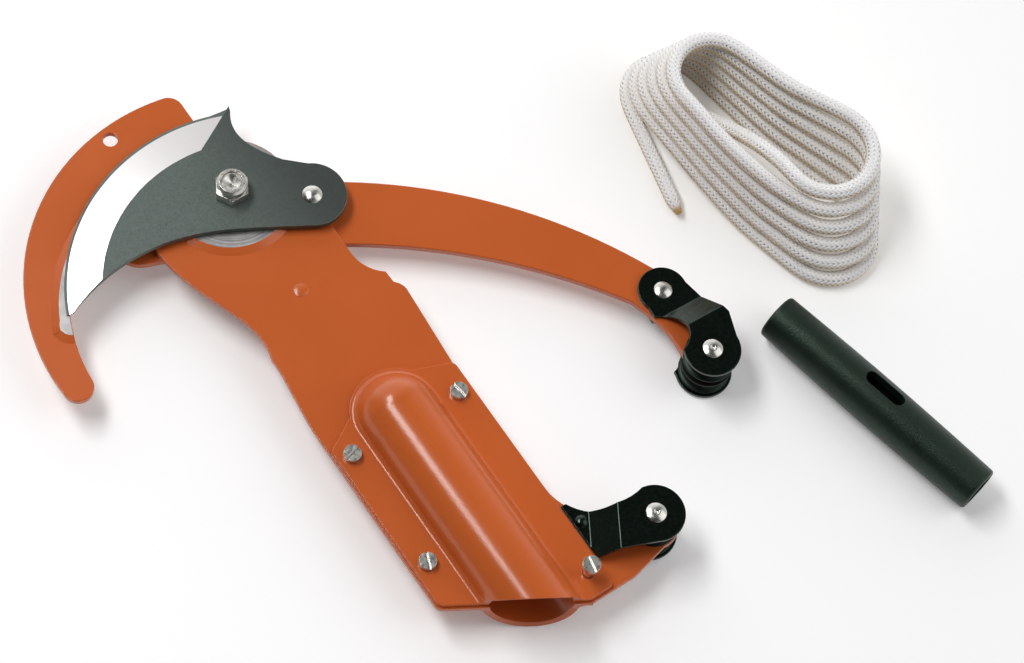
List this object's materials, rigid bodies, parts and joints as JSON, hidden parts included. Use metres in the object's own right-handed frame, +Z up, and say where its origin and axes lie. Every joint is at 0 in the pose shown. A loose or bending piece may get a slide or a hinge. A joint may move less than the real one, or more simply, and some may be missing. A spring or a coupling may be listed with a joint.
{
  "type": "tree pruner head",
  "caption": "Rope-operated tree pruner head with a hooked body plate, ground blade, curved pull lever, rope pulleys and pole socket, with a rope hank and a pull grip.",
  "frame": {"origin": "on the pole axis at the middle of the socket mouth", "axes": "+Y along the pole axis towards the hook, -Y the way the pole leaves the socket; +X towards the lever and its pulleys; +Z up, the blade's side, with the head lying flat"},
  "size_m": [0.4756, 0.4518, 0.058],
  "materials": {
    "orange_paint": "glossy orange-red powder coat on pressed steel",
    "zinc": "bright zinc plate",
    "bright_steel": "bare riveted steel",
    "blade_steel": "dark phosphated steel with a bright ground bevel",
    "black_paint": "semi-gloss black lacquer",
    "black_plastic": "smooth black plastic",
    "spring_steel": "drawn spring wire",
    "rope": "white braided rope with grey flecks",
    "grip_plastic": "fine-textured greenish black plastic"
  },
  "bodies": {
    "head": {"hook_plate": "orange_paint", "socket_cover": "orange_paint", "cover_screws": "zinc", "anchor_screw": "zinc", "cover_nuts": "zinc", "pivot_bolt": "zinc", "pivot_washer": "zinc", "pivot_nut": "zinc", "lower_strap_front": "black_paint", "lower_strap_back": "black_paint", "lower_strap_rivet": "black_paint", "lower_axle": "bright_steel", "spring_anchor": "orange_paint", "return_spring": "spring_steel"},
    "blade_lever": {"blade": "blade_steel", "blade_rivet": "bright_steel", "rivet_spacer": "zinc", "lever": "orange_paint", "upper_strap_front": "black_paint", "upper_strap_back": "black_paint", "upper_strap_rivet": "bright_steel", "upper_axle": "bright_steel", "spring_post": "zinc"},
    "upper_wheel_front": {"upper_pulley_front": "black_plastic"},
    "upper_wheel_back": {"upper_pulley_back": "black_plastic"},
    "lower_wheel_front": {"lower_pulley_front": "black_plastic"},
    "lower_wheel_back": {"lower_pulley_back": "black_plastic"},
    "rope": {"rope_hank": "rope"},
    "grip": {"pull_grip": "grip_plastic"}
  },
  "joints": [
    {"name": "blade_pivot", "type": "hinge", "parent": "head", "child": "blade_lever", "pos_m": [-0.0055, 0.2935, 0], "axis": [0, 0, 1], "range_deg": [0, 50], "deforming": ["return_spring"]},
    {"name": "upper_front_turn", "type": "hinge", "parent": "blade_lever", "child": "upper_wheel_front", "pos_m": [0.171, 0.067, 0.0015], "axis": [0, 0, 1], "continuous": true},
    {"name": "upper_back_turn", "type": "hinge", "parent": "blade_lever", "child": "upper_wheel_back", "pos_m": [0.171, 0.067, -0.0151], "axis": [0, 0, 1], "continuous": true},
    {"name": "lower_front_turn", "type": "hinge", "parent": "head", "child": "lower_wheel_front", "pos_m": [0.084, 0.003, 0.0058], "axis": [0, 0, 1], "continuous": true},
    {"name": "lower_back_turn", "type": "hinge", "parent": "head", "child": "lower_wheel_back", "pos_m": [0.084, 0.003, -0.0098], "axis": [0, 0, 1], "continuous": true},
    {"name": "rope_lift", "type": "slide", "parent": "blade_lever", "child": "rope", "axis": [0, 0, 1], "range_m": [0, 0.05]},
    {"name": "grip_lift", "type": "slide", "parent": "blade_lever", "child": "grip", "axis": [0, 0, 1], "range_m": [0, 0.05]}
  ]
}
